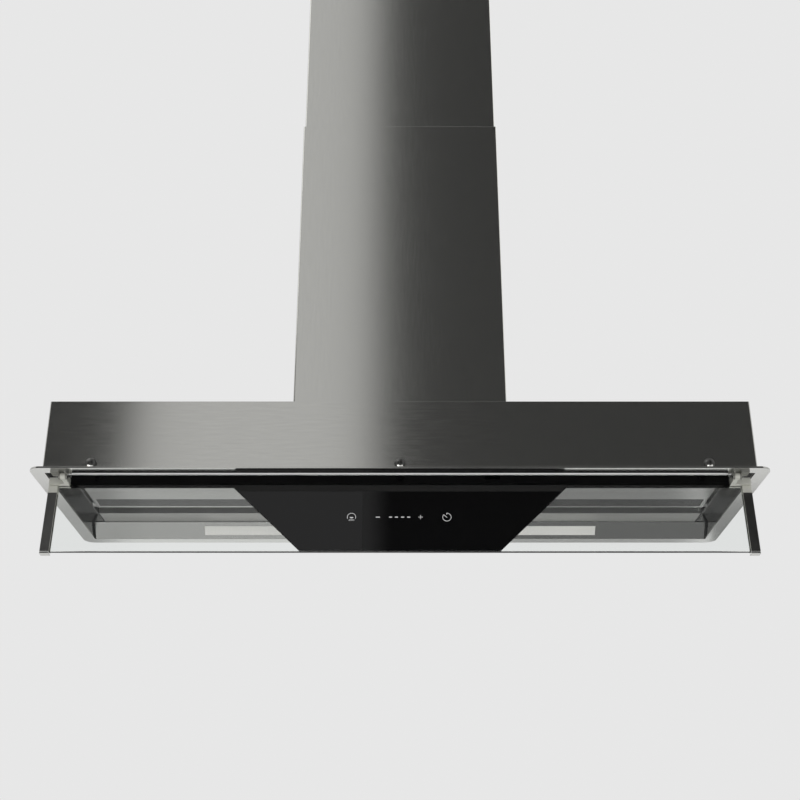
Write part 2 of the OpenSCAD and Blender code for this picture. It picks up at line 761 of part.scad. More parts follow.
module blower_box() color("lightgray") hung() difference() {
    union() {
        block([-box_w / 2, -box_d / 2, canopy_h], [box_w / 2, box_d / 2, canopy_h + box_h]);
        block([cut - box_w / 2 - lug_w, cut - box_d / 2 - lug_w, canopy_h],
            [box_w / 2 + lug_w - cut, box_d / 2 + lug_w - cut, canopy_h + sheet]);
    }
    block([-box_w / 2 + sheet, -box_d / 2 + sheet, canopy_h - cut],
        [box_w / 2 - sheet, box_d / 2 - sheet, canopy_h + box_h - sheet]);
    block([-scroll_w / 2, throat_y - fan_forward, canopy_h + box_h - sheet - cut],
        [scroll_w / 2, scroll_end - fan_forward, canopy_h + box_h + cut]);
}

// ---- outlet ----

// Solid that runs from the throat's rectangle to the collar's circle, grown by o
module transition(o) hull() {
    translate([-scroll_w / 2 - o, throat_y - fan_forward - o, adapter_z - (o > 0 ? 0 : cut)])
        cube([scroll_w + 2 * o, scroll_end - throat_y + 2 * o, 0.6]);
    translate([0, 0, collar_z - 0.6]) cylinder(r = collar_d / 2 - collar_t + o, h = o > 0 ? 0.6 : 0.6 + cut, $fn = 48);
}

module outlet_adapter() color("gray") hung() difference() {
    transition(collar_t);
    transition(0);
}

module duct_collar() color("gray") hung() translate([0, 0, collar_z]) difference() {
    union() {
        cylinder(d = collar_d, h = collar_h);
        cylinder(d = collar_d + 12, h = 2);
    }
    // Below the flaps a narrower bore leaves the lip that they rest on
    translate([0, 0, -cut]) cylinder(r = flap_r - 3, h = collar_h);
    translate([0, 0, -cut]) cylinder(r = collar_d / 2 - collar_t, h = lip_z - 2 + cut);
    translate([0, 0, lip_z]) cylinder(r = collar_d / 2 - collar_t, h = collar_h);
    translate([0, 0, rod_z]) rod_x(rod_d / 2, -collar_d, collar_d);
}

module damper_rod() color("gainsboro") hung() translate([0, 0, collar_z + rod_z])
    rod_x(rod_d / 2, 0.3 - collar_d / 2, collar_d / 2 - 0.3);

// One flap of the backdraught damper. Knuckles sit at every other place along the rod.
module damper_flap(first) difference() {
    union() {
        intersection() {
            translate([0, 0, -flap_t / 2]) cylinder(r = flap_r, h = flap_t);
            translate([-flap_r, rod_d / 2 + 2.2, -flap_t]) cube([2 * flap_r, flap_r, 2 * flap_t]);
        }
        for (i = [first : 2 : 3]) translate([(i - 2) * knuckle_len, 0, 0]) {
            rod_x(rod_d / 2 + 1.2, side_gap, knuckle_len - side_gap);
            translate([side_gap, 0, -flap_t / 2]) cube([knuckle_len - 2 * side_gap, rod_d / 2 + 3, flap_t]);
        }
    }
    rod_x(rod_d / 2 + run_gap, -flap_r, flap_r);
}

module damper_rear() color("lightgray") hung() translate([0, 0, collar_z + rod_z]) damper_flap(0);

module damper_front() color("lightgray") hung() translate([0, 0, collar_z + rod_z])
    rotate([0, 0, 180]) damper_flap(0);

// ---- visor hinge, fixed side ----

ear_in = knuckle_x - knuckle_w / 2 - side_gap;
ear_out = knuckle_x + knuckle_w / 2 + side_gap;
ear_t = 2;
leaf_out = ear_out + 10;

module on_pivot() hung() translate([0, pivot_y, pivot_z]) children();

module leaf_screw_places() for (y = [pivot_back - 7, pivot_back + 2])
    translate([(ear_out + ear_t + leaf_out) / 2, front_y + y, -leaf_t]) children();

module hinge_leaves() color("darkgray") mirrored_x() difference() {
    union() {
        hung() block([ear_in - ear_t, front_y + 1, -leaf_t], [leaf_out, front_y + flange_w - 1, 0]);
        for (x = [ear_in - ear_t, ear_out]) {
            on_pivot() rod_x(leaf_t - 0.6, x, x + ear_t);
            hung() block([x, pivot_y - leaf_t + 0.6, pivot_z], [x + ear_t, pivot_y + leaf_t - 0.6, -leaf_t + 0.2]);
        }
    }
    on_pivot() rod_x(hinge_pin_d / 2, ear_in - ear_t - cut, ear_out + ear_t + cut);
    // Room for the moving knuckle and its neck
    on_pivot() rod_x(knuckle_r + side_gap, ear_in, ear_out);
    hung() block([ear_in, front_y, pivot_z], [ear_out, front_y + flange_w, pivot_z + knuckle_r]);
    hung() leaf_screw_places() translate([0, 0, -cut]) {
        cylinder(r = 1.5, h = leaf_t + 2 * cut, $fn = 24);
        cylinder(r = 2.8, h = 1.6 + cut, $fn = 24);
    }
}

module leaf_screws() color("dimgray") mirrored_x() hung() leaf_screw_places() {
    cylinder(r = 1.5, h = leaf_t, $fn = 24);
    cylinder(r = 2.8, h = 1.6, $fn = 24);
}

module hinge_pins() color("whitesmoke") mirrored_x() on_pivot()
    rod_x(hinge_pin_d / 2, ear_in - ear_t, ear_out + ear_t);

// ---- visor ----

// Clamp at the glass's top corner, with the neck and knuckle that turn on the pin
module hinge_blocks() color("darkgray") mirrored_x() on_visor() difference() {
    union() {
        block([ear_in + side_gap, block_front, block_mid - block_h / 2],
            [block_out, block_back, block_mid + block_h / 2]);
        block([ear_in + side_gap, knuckle_y, knuckle_z - 2.5],
            [ear_out - side_gap, block_front + 1, knuckle_z + 2.5]);
        translate([0, knuckle_y, knuckle_z]) rod_x(knuckle_r, ear_in + side_gap, ear_out - side_gap);
    }
    translate([0, knuckle_y, knuckle_z]) rod_x(hinge_pin_d / 2 + run_gap, ear_in - cut, ear_out + cut);
    block([0, -glass_t / 2, glass_bottom], [glass_w / 2, glass_t / 2, glass_top]);
}

module arm_section(z0, z1, in) difference() {
    block([glass_w / 2 - in, -arm_d / 2, z0], [arm_out, arm_d / 2, z1]);
    block([0, -glass_t / 2, z0 - cut], [glass_w / 2, glass_t / 2, z1 + cut]);
}

module arm_heads() color("silver") mirrored_x() on_visor() arm_section(arm_top, head_top, 4.5);

module side_arms() color([0.2, 0.2, 0.2]) mirrored_x() on_visor() arm_section(glass_bottom, arm_top, 4.5);

module arm_caps() color("whitesmoke") mirrored_x() on_visor()
    block([glass_w / 2 - 4.5, -arm_d / 2, glass_bottom - cap_h], [arm_out, arm_d / 2, glass_bottom]);

module glass_panel() color([0.5, 0.6, 0.6, 0.35]) on_visor()
    block([-glass_w / 2, -glass_t / 2, glass_bottom], [glass_w / 2, glass_t / 2, glass_top]);

// Black band and control field behind the glass
module control_film() color([0.05, 0.05, 0.05]) on_visor() translate([0, glass_t / 2 + film_t, 0])
    rotate([90, 0, 0]) linear_extrude(film_t) polygon([
        [-ear_in, field_top + band_h], [-ear_in, field_top],
        [-field_top_w / 2, field_top], [-field_bottom_w / 2, field_top - field_h],
        [field_bottom_w / 2, field_top - field_h], [field_top_w / 2, field_top],
        [ear_in, field_top], [ear_in, field_top + band_h]]);

module touch_board() color("black") on_visor() translate([0, glass_t / 2 + film_t, field_top - field_h / 2 - 3])
    rotate([-90, 0, 0]) linear_extrude(3) rounded(2 * field_bottom_w / 3, 22, 2);

// Polished trim that caps the top edge of the glass
module top_trim() color("whitesmoke") on_visor() difference() {
    block([-ear_in, -glass_t / 2 - trim_t, glass_top - trim_leg], [ear_in, glass_t / 2 + trim_t, glass_top + trim_t]);
    block([-ear_in - cut, -glass_t / 2, glass_top - trim_leg - cut], [ear_in + cut, glass_t / 2, glass_top]);
}

ceiling_plate();
upper_posts();
lower_posts();
tie_rings();
base_ring();
post_screws();
anchor_washers();
upper_chimney();
lower_chimney();
sleeve_pads();
canopy_shell();
rim_frame();
tray_liner();
cap_screws();
cap_nuts();
lamp_panel();
lamp_housings();
led_boards();
lamp_lenses();
led_driver();
control_box();
control_lid();
terminal_block();
cable_gland();
capacitor();
filter_frames();
filter_meshes();
latch_left();
latch_right();
suction_panel();
panel_magnets();
magnet_posts();
panel_pins();
blower_box();
scroll_left();
scroll_right();
fan_wheel();
motor_shaft();
motor();
motor_bracket();
motor_mounts();
outlet_adapter();
duct_collar();
damper_rod();
damper_front();
damper_rear();
hinge_leaves();
leaf_screws();
hinge_pins();
hinge_blocks();
arm_heads();
side_arms();
arm_caps();
glass_panel();
control_film();
touch_board();
top_trim();
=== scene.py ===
import json
import math

import bpy
from mathutils import Matrix, Vector

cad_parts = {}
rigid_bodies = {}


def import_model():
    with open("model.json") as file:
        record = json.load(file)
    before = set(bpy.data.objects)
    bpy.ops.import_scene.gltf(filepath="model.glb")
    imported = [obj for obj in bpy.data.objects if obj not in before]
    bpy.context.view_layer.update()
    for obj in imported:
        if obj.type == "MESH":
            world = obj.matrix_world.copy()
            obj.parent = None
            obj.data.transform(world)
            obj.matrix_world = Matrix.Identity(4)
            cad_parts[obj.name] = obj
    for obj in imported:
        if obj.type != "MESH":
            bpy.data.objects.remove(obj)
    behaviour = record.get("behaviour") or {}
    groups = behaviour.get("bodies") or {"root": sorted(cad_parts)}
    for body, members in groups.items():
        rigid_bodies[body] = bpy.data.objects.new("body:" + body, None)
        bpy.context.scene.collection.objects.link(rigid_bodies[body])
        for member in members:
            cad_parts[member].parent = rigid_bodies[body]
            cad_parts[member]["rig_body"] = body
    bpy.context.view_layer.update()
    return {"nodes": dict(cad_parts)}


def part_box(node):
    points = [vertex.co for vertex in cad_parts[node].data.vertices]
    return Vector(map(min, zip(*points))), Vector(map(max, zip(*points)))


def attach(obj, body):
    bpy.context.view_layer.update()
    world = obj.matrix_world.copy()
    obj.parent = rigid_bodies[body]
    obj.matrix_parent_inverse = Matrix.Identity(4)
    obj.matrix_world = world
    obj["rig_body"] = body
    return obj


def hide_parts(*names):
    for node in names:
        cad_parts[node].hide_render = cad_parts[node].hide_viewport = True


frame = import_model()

nodes = frame["nodes"]
print("frame loaded:", len(nodes), "pieces of the hood")


# ways of working

handling = {
    "bevelSteps": 2,
    "bevelAngle": 30,        # degrees: gentler folds than this stay as they are
    "flatWeight": 100,       # keeps the large faces flat
    "mergeWithin": 0.000002,
    "flatWithin": 0.5,       # degrees
}


def stopEditing():
    bpy.ops.object.mode_set(mode="OBJECT")


def deselectAll():
    if bpy.context.object and bpy.context.object.mode != "OBJECT":
        stopEditing()
    bpy.ops.object.select_all(action="DESELECT")


def workOn(piece):
    deselectAll()
    piece.select_set(True)
    bpy.context.view_layer.objects.active = piece


def pickNothing(piece, kind):
    workOn(piece)
    bpy.ops.object.mode_set(mode="EDIT")
    bpy.ops.mesh.select_mode(type=kind)
    bpy.ops.mesh.select_all(action="DESELECT")
    stopEditing()


def pickFaces(piece, test):
    # leaves edit mode open with only the faces that pass the test selected
    pickNothing(piece, "FACE")
    for face in piece.data.polygons:
        face.select = test(face)
    bpy.ops.object.mode_set(mode="EDIT")


def pickVertices(piece, test):
    pickNothing(piece, "VERT")
    for vertex in piece.data.vertices:
        vertex.select = test(vertex.co)
    bpy.ops.object.mode_set(mode="EDIT")


def pickWhole(piece):
    workOn(piece)
    bpy.ops.object.mode_set(mode="EDIT")
    bpy.ops.mesh.select_all(action="SELECT")


def moveVertices(piece, test, way):
    pickVertices(piece, test)
    bpy.ops.transform.translate(value=way)
    stopEditing()


def cutFaces(piece, test, place, facing):
    pickFaces(piece, test)
    bpy.ops.mesh.bisect(plane_co=place, plane_no=facing)
    stopEditing()


def roundEdges(piece, width, steps=handling["bevelSteps"]):
    workOn(piece)
    bpy.ops.object.shade_smooth()
    bevel = piece.modifiers.new("roundEdges", "BEVEL")
    bevel.width = width
    bevel.segments = steps
    bevel.limit_method = "ANGLE"
    bevel.angle_limit = math.radians(handling["bevelAngle"])
    bpy.ops.object.modifier_apply(modifier="roundEdges")
    flatten = piece.modifiers.new("flatFaces", "WEIGHTED_NORMAL")
    flatten.weight = handling["flatWeight"]
    flatten.keep_sharp = True
    bpy.ops.object.modifier_apply(modifier="flatFaces")


def mergedCopy(nodeName, pieceName):
    # a copy of a CAD piece with its doubles merged and its flat faces made whole
    mesh = nodes[nodeName].data.copy()
    piece = bpy.data.objects.new(pieceName, mesh)
    bpy.context.scene.collection.objects.link(piece)
    workOn(piece)
    bpy.ops.mesh.customdata_custom_splitnormals_clear()
    pickWhole(piece)
    bpy.ops.mesh.remove_doubles(threshold=handling["mergeWithin"])
    bpy.ops.mesh.dissolve_limited(angle_limit=math.radians(handling["flatWithin"]))
    stopEditing()
    return piece


# camera

cameraView = {
    "place": (0.0, -1.527, -1.469),
    "pitch": 23.88,          # degrees up from level
    "lens": 54.77,
    "sensor": 36,
}

bpy.ops.object.camera_add(
    location=cameraView["place"],
    rotation=(math.radians(90 + cameraView["pitch"]), 0, 0),
)
camera = bpy.context.object
camera.data.lens = cameraView["lens"]
camera.data.sensor_width = cameraView["sensor"]
bpy.context.scene.camera = camera
bpy.context.scene.view_settings.view_transform = "Standard"
print("camera set")


# small steps shared by the materials

def newMaterial(name):
    material = bpy.data.materials.new(name)
    material.use_nodes = True
    tree = material.node_tree
    return material, tree, tree.nodes["Principled BSDF"]


def mathNode(tree, operation, first, second=None, clamp=False):
    node = tree.nodes.new("ShaderNodeMath")
    node.operation = operation
    node.use_clamp = clamp
    for slot, value in zip(node.inputs, (first, second)):
        if value is None:
            continue
        if isinstance(value, (int, float)):
            slot.default_value = value
        else:
            tree.links.new(value, slot)
    return node.outputs[0]


def noiseNode(tree, vector, scale, detail=2.0, rough=0.5):
    node = tree.nodes.new("ShaderNodeTexNoise")
    node.inputs["Detail"].default_value = detail
    node.inputs["Roughness"].default_value = rough
    if isinstance(scale, (int, float)):
        node.inputs["Scale"].default_value = scale
    else:
        tree.links.new(scale, node.inputs["Scale"])
    tree.links.new(vector, node.inputs["Vector"])
    return node.outputs["Fac"]


def splitAxes(tree, vector):
    node = tree.nodes.new("ShaderNodeSeparateXYZ")
    tree.links.new(vector, node.inputs[0])
    return node.outputs


def multiplyInto(tree, value, scale, slot):
    tree.links.new(mathNode(tree, "MULTIPLY", value, scale), slot)


def shareOut(tree, main, other, mainShare):
    # one mask made of two, the first with the greater share
    mainPart = mathNode(tree, "MULTIPLY", main, mainShare)
    otherPart = mathNode(tree, "MULTIPLY", other, 1 - mainShare)
    return mathNode(tree, "ADD", mainPart, otherPart)


def objectPlace(tree):
    return tree.nodes.new("ShaderNodeTexCoord").outputs["Object"]


def stretched(tree, scale):
    mapping = tree.nodes.new("ShaderNodeMapping")
    mapping.inputs["Scale"].default_value = scale
    tree.links.new(objectPlace(tree), mapping.inputs["Vector"])
    return mapping.outputs["Vector"]


def toneBy(tree, shader, tones, factor):
    node = tree.nodes.new("ShaderNodeMix")
    node.data_type = "RGBA"
    node.inputs["A"].default_value = (*tones[0], 1)
    node.inputs["B"].default_value = (*tones[1], 1)
    tree.links.new(factor, node.inputs["Factor"])
    tree.links.new(node.outputs["Result"], shader.inputs["Base Color"])


def roughBy(tree, shader, rough, factor):
    node = tree.nodes.new("ShaderNodeMapRange")
    node.inputs["To Min"].default_value = rough[0]
    node.inputs["To Max"].default_value = rough[1]
    tree.links.new(factor, node.inputs["Value"])
    tree.links.new(node.outputs["Result"], shader.inputs["Roughness"])


def bumpInto(tree, shader, height, strength, distance=0.0002):
    bump = tree.nodes.new("ShaderNodeBump")
    bump.inputs["Strength"].default_value = strength
    bump.inputs["Distance"].default_value = distance
    tree.links.new(height, bump.inputs["Height"])
    tree.links.new(bump.outputs["Normal"], shader.inputs["Normal"])


# studio: pale floor and surroundings, dark upright flags, one level card and soft lamps

studio = {
    "floorHeight": -3.3,
    "floorSize": 90,
    "floorTone": (0.78, 0.78, 0.77),
    "floorRough": 0.7,
    "worldTone": 0.8,
    "worldStrength": 1,
    "clothRough": 0.9,
    "clothSheen": 0.2,
    "clothFade": 0.12,       # metres over which a cloth grows pale at its sides
    "flags": [               # low x, high x, y, low z, high z, tone
        (-0.145, 3.2, -3.0, -1.6, 3.4, 0.085),
        (-4.2, -0.965, -3.0, -1.6, 3.4, 0.085),
        (-2.2, 2.2, 1.6, -1.12, -0.86, 0.05),
        (0.0, 0.86, 1.7, -2.2, -1.12, 0.44),
        (-2.4, -0.74, 1.72, -1.59, -1.3, 0.42),
        (0.74, 2.4, 1.72, -1.59, -1.3, 0.25),
    ],
    "card": (0.0, 2.3, -1.0, 0.3, -2.4, 0.3),    # low x, high x, low y, high y, z, tone
    "lamps": [               # place, aimed at, width, height, watts, mirrored in the steel
        ((-1.6, -1.2, 1.2), (0, 0, -0.6), 1.9, 1.9, 14, True),
        ((2.2, 0.6, 0.9), (0, 0, -0.6), 1.7, 1.7, 10, True),
        ((0.25, -2.4, -2.3), (0, 0, -0.95), 0.8, 0.8, 34, False),
    ],
}


def clothMaterial(name, tone, rough):
    material, tree, shader = newMaterial(name)
    shader.inputs["Base Color"].default_value = (*tone, 1)
    shader.inputs["Roughness"].default_value = rough
    shader.inputs["Specular IOR Level"].default_value = studio["clothSheen"]
    return material


def fadingMaterial(name, tone, halfWidth):
    # dark cloth that grows as pale as the surroundings towards its left and right edges
    material = clothMaterial(name, (tone, tone, tone), studio["clothRough"])
    tree = material.node_tree
    away = mathNode(tree, "ABSOLUTE", splitAxes(tree, objectPlace(tree))["X"])
    fade = tree.nodes.new("ShaderNodeMapRange")
    fade.interpolation_type = "SMOOTHSTEP"
    fade.inputs["From Min"].default_value = halfWidth - studio["clothFade"]
    fade.inputs["From Max"].default_value = halfWidth
    fade.inputs["To Min"].default_value = tone
    fade.inputs["To Max"].default_value = studio["worldTone"]
    tree.links.new(away, fade.inputs["Value"])
    tree.links.new(fade.outputs["Result"], tree.nodes["Principled BSDF"].inputs["Base Color"])
    return material


def layFloor():
    deselectAll()
    place = (0, 0, studio["floorHeight"])
    bpy.ops.mesh.primitive_plane_add(size=studio["floorSize"], location=place)
    floor = bpy.context.object
    floor.name = "floor"
    material = clothMaterial("paleFloor", studio["floorTone"], studio["floorRough"])
    floor.data.materials.append(material)


def addFlag(name, middle, width, height, turn, tone):
    deselectAll()
    bpy.ops.mesh.primitive_plane_add(size=1, location=middle, rotation=(math.radians(turn), 0, 0))
    flag = bpy.context.object
    flag.name = name
    flag.scale = (width, height, 1)
    bpy.ops.object.transform_apply(location=False, rotation=False, scale=True)
    flag.data.materials.append(fadingMaterial(name + "Cloth", tone, width / 2))
    flag.visible_camera = False
    flag.visible_transmission = False
    return flag


def hangFlags():
    for number, (lowX, highX, y, lowZ, highZ, tone) in enumerate(studio["flags"]):
        middle = ((lowX + highX) / 2, y, (lowZ + highZ) / 2)
        addFlag(f"flag{number}", middle, highX - lowX, highZ - lowZ, turn=-90, tone=tone)
    lowX, highX, lowY, highY, z, tone = studio["card"]
    middle = ((lowX + highX) / 2, (lowY + highY) / 2, z)
    card = addFlag("lowCard", middle, highX - lowX, highY - lowY, turn=0, tone=tone)
    card.visible_diffuse = False
    card.visible_shadow = False


def hangLamps():
    for number, (place, target, width, height, watts, mirrored) in enumerate(studio["lamps"]):
        deselectAll()
        bpy.ops.object.light_add(type="AREA", location=place)
        lamp = bpy.context.object
        lamp.name = f"softLamp{number}"
        lamp.data.shape = "RECTANGLE"
        lamp.data.size = width
        lamp.data.size_y = height
        lamp.data.energy = watts
        aim = Vector(target) - Vector(place)
        lamp.rotation_euler = aim.to_track_quat("-Z", "Y").to_euler()
        lamp.visible_camera = False
        lamp.visible_glossy = mirrored


def lightWorld():
    world = bpy.data.worlds.new("studioWorld")
    world.use_nodes = True
    background = world.node_tree.nodes["Background"]
    tone = studio["worldTone"]
    background.inputs["Color"].default_value = (tone, tone, tone, 1)
    background.inputs["Strength"].default_value = studio["worldStrength"]
    bpy.context.scene.world = world


layFloor()
hangFlags()
hangLamps()
lightWorld()
print("studio built")


# shared effects, each one group with its own inputs

grainWork = {
    "along": 20.0,           # the drawn lines' scale along their run
    "across": 260.0,
    "steep": 0.7,            # how squarely a face must look along an axis to count as facing it
    "fineScale": 9.0,
    "broadScale": 1.6,
    "fineShare": 0.5,
}
wearWork = {
    "speckFrom": 0.68,
    "speckGain": 8.0,
}


def newGroup(name, inputs, outputs):
    group = bpy.data.node_groups.new(name, "ShaderNodeTree")
    for title, kind, value in inputs:
        socket = group.interface.new_socket(title, in_out="INPUT", socket_type=kind)
        if value is not None:
            socket.default_value = value
    for title, kind in outputs:
        group.interface.new_socket(title, in_out="OUTPUT", socket_type=kind)
    return group, group.nodes.new("NodeGroupInput"), group.nodes.new("NodeGroupOutput")


def fromMiddle(group, mask):
    return mathNode(group, "SUBTRACT", mask, 0.5)


def toMiddle(group, value):
    return mathNode(group, "ADD", value, 0.5, clamp=True)


def makeGrainGroup():
    # drawn lines of a brushed sheet: the coordinate already runs along the first axis
    group, inside, outside = newGroup(
        "brushedGrain",
        [("Coordinate", "NodeSocketVector", None), ("Strength", "NodeSocketFloat", 1.0)],
        [("Tone", "NodeSocketFloat"), ("Rough", "NodeSocketFloat"), ("Height", "NodeSocketFloat")],
    )
    coordinate = inside.outputs["Coordinate"]
    fine = noiseNode(group, coordinate, grainWork["fineScale"], detail=3.0, rough=0.6)
    broad = noiseNode(group, coordinate, grainWork["broadScale"], detail=3.0)
    finePart = mathNode(group, "MULTIPLY", fromMiddle(group, fine), grainWork["fineShare"])
    both = mathNode(group, "ADD", finePart, fromMiddle(group, broad))
    scaled = mathNode(group, "MULTIPLY", both, inside.outputs["Strength"])
    group.links.new(toMiddle(group, scaled), outside.inputs["Tone"])
    group.links.new(toMiddle(group, scaled), outside.inputs["Rough"])
    group.links.new(fine, outside.inputs["Height"])
    return group


def makeWearGroup():
    # faint cloudy patches, wipe marks and dust of a used surface
    group, inside, outside = newGroup(
        "handlingWear",
        [("Coordinate", "NodeSocketVector", None), ("Patch Scale", "NodeSocketFloat", 14.0),
         ("Speck Scale", "NodeSocketFloat", 900.0), ("Amount", "NodeSocketFloat", 1.0)],
        [("Patch", "NodeSocketFloat"), ("Speck", "NodeSocketFloat")],
    )
    coordinate, amount = inside.outputs["Coordinate"], inside.outputs["Amount"]
    patch = noiseNode(group, coordinate, inside.outputs["Patch Scale"], detail=4.0, rough=0.6)
    patchShift = mathNode(group, "MULTIPLY", fromMiddle(group, patch), amount)
    group.links.new(toMiddle(group, patchShift), outside.inputs["Patch"])
    speck = noiseNode(group, coordinate, inside.outputs["Speck Scale"], detail=1.0)
    above = mathNode(group, "SUBTRACT", speck, wearWork["speckFrom"])
    sharp = mathNode(group, "MULTIPLY", above, wearWork["speckGain"], clamp=True)
    multiplyInto(group, sharp, amount, outside.inputs["Speck"])
    return group


grainGroup = makeGrainGroup()
wearGroup = makeWearGroup()


def placeGroup(tree, group, values, coordinate):
    node = tree.nodes.new("ShaderNodeGroup")
    node.node_tree = group
    for title, value in values.items():
        node.inputs[title].default_value = value
    tree.links.new(coordinate, node.inputs["Coordinate"])
    return node.outputs


def addWear(tree, patchScale, amount, speckScale=900.0):
    values = {"Patch Scale": patchScale, "Amount": amount, "Speck Scale": speckScale}
    return placeGroup(tree, wearGroup, values, objectPlace(tree))


def grainAlong(tree, direction):
    # coordinate whose first axis runs along the drawn lines
    along, across = grainWork["along"], grainWork["across"]
    if direction == "x":
        return stretched(tree, (along, across, across))
    if direction == "y":
        return stretched(tree, (across, along, across))
    place = splitAxes(tree, objectPlace(tree))
    joined = tree.nodes.new("ShaderNodeCombineXYZ")
    if direction == "up":
        # round the sleeve the lines stand upright on all four sides
        girth = mathNode(tree, "ADD", place["X"], place["Y"])
        multiplyInto(tree, place["Z"], along, joined.inputs["X"])
        multiplyInto(tree, girth, across, joined.inputs["Y"])
        return joined.outputs[0]
    # level lines on the upright faces, and lines along X on the level ones
    facing = splitAxes(tree, tree.nodes.new("ShaderNodeNewGeometry").outputs["Normal"])
    steep = grainWork["steep"]
    level = mathNode(tree, "GREATER_THAN", mathNode(tree, "ABSOLUTE", facing["Z"]), steep)
    sideways = mathNode(tree, "GREATER_THAN", mathNode(tree, "ABSOLUTE", facing["X"]), steep)
    run = mathNode(tree, "ADD", place["X"], mathNode(tree, "MULTIPLY", place["Y"], sideways))
    multiplyInto(tree, run, along, joined.inputs["X"])
    multiplyInto(tree, mathNode(tree, "MULTIPLY", place["Y"], level), across, joined.inputs["Y"])
    multiplyInto(tree, place["Z"], across, joined.inputs["Z"])
    return joined.outputs[0]


print("shared effects built")


# finishes

def brushedSteel(name, direction, tones, rough, bump=0.05, strength=1.0):
    material, tree, shader = newMaterial(name)
    grain = placeGroup(tree, grainGroup, {"Strength": strength}, grainAlong(tree, direction))
    wear = addWear(tree, patchScale=9.0, amount=0.5)
    mixed = shareOut(tree, grain["Tone"], wear["Patch"], mainShare=0.7)
    toneBy(tree, shader, tones, mixed)
    roughBy(tree, shader, rough, mixed)
    shader.inputs["Metallic"].default_value = 1
    bumpInto(tree, shader, grain["Height"], bump)
    return material


def cloudyMetal(name, tones, rough, patch=30.0, bump=0.03, bumpScale=600.0):
    # cast, plated or polished metal with a faint uneven bloom
    material, tree, shader = newMaterial(name)
    wear = addWear(tree, patch, amount=1.2)
    toneBy(tree, shader, tones, wear["Patch"])
    roughBy(tree, shader, rough, wear["Patch"])
    shader.inputs["Metallic"].default_value = 1
    bumpInto(tree, shader, noiseNode(tree, objectPlace(tree), bumpScale), bump)
    return material


def castMetal(name, tones, rough, metallic):
    # die-cast fitting with a sprayed metallic coat: fine pits and a faint sparkle
    material, tree, shader = newMaterial(name)
    wear = addWear(tree, patchScale=90.0, amount=1.0, speckScale=2400.0)
    toneBy(tree, shader, tones, shareOut(tree, wear["Patch"], wear["Speck"], mainShare=0.7))
    roughBy(tree, shader, rough, wear["Patch"])
    shader.inputs["Metallic"].default_value = metallic
    bumpInto(tree, shader, noiseNode(tree, objectPlace(tree), scale=1500.0), strength=0.08)
    return material


def moulded(name, tones, rough):
    # moulded plastic, rubber or paint with a fine texture and a little dust
    material, tree, shader = newMaterial(name)
    wear = addWear(tree, patchScale=40.0, amount=0.8)
    toneBy(tree, shader, tones, shareOut(tree, wear["Patch"], wear["Speck"], mainShare=0.8))
    roughBy(tree, shader, rough, wear["Patch"])
    bumpInto(tree, shader, noiseNode(tree, objectPlace(tree), scale=1400.0, detail=1.0), strength=0.15)
    return material


def galvanised(name, tones, rough):
    # zinc coat with its large flat crystals
    material, tree, shader = newMaterial(name)
    cells = tree.nodes.new("ShaderNodeTexVoronoi")
    cells.inputs["Scale"].default_value = 90
    tree.links.new(objectPlace(tree), cells.inputs["Vector"])
    split = tree.nodes.new("ShaderNodeSeparateColor")
    tree.links.new(cells.outputs["Color"], split.inputs[0])
    toneBy(tree, shader, tones, split.outputs["Red"])
    roughBy(tree, shader, rough, split.outputs["Green"])
    shader.inputs["Metallic"].default_value = 0.9
    bumpInto(tree, shader, cells.outputs["Distance"], strength=0.06, distance=0.0005)
    return material


def polishGlass(tree, shader):
    # a wiped face that is very slightly uneven
    wear = addWear(tree, patchScale=12.0, amount=1.0)
    roughBy(tree, shader, (0.0, 0.02), wear["Patch"])
    shader.inputs["IOR"].default_value = 1.38
    return wear["Patch"]


def clearGlass(name, tint):
    material, tree, shader = newMaterial(name)
    shader.inputs["Base Color"].default_value = (*tint, 1)
    shader.inputs["Transmission Weight"].default_value = 1
    polishGlass(tree, shader)
    return material


def blackGlass(name, tones):
    # glass backed by print: deep black under a polished face
    material, tree, shader = newMaterial(name)
    toneBy(tree, shader, tones, polishGlass(tree, shader))
    return material


def printedInk(name, tones):
    # ink fired onto glass, with no gloss of its own
    material, tree, shader = newMaterial(name)
    toneBy(tree, shader, tones, addWear(tree, patchScale=60.0, amount=1.0)["Patch"])
    shader.inputs["Roughness"].default_value = 0.7
    shader.inputs["Specular IOR Level"].default_value = 0.0
    return material


def satinTrim(name, tones, rough):
    # bright anodised edge strip, with its drawn lines along X
    material, tree, shader = newMaterial(name)
    grain = placeGroup(tree, grainGroup, {"Strength": 0.8}, grainAlong(tree, "x"))
    toneBy(tree, shader, tones, grain["Tone"])
    roughBy(tree, shader, rough, grain["Rough"])
    shader.inputs["Metallic"].default_value = 0
    bumpInto(tree, shader, grain["Height"], strength=0.04)
    return material


def frosted(name, tones):
    # opal cover with fine ribs that spread the light, and a faint painted glow
    material, tree, shader = newMaterial(name)
    ribs = tree.nodes.new("ShaderNodeTexWave")
    ribs.inputs["Scale"].default_value = 160
    tree.links.new(objectPlace(tree), ribs.inputs["Vector"])
    toneBy(tree, shader, tones, ribs.outputs["Fac"])
    shader.inputs["Roughness"].default_value = 0.35
    # painted light: a faint glow of its own, with no lamp lit inside the hood
    shader.inputs["Emission Color"].default_value = (1, 0.98, 0.94, 1)
    shader.inputs["Emission Strength"].default_value = 0.06
    bumpInto(tree, shader, ribs.outputs["Fac"], strength=0.2, distance=0.0003)
    return material


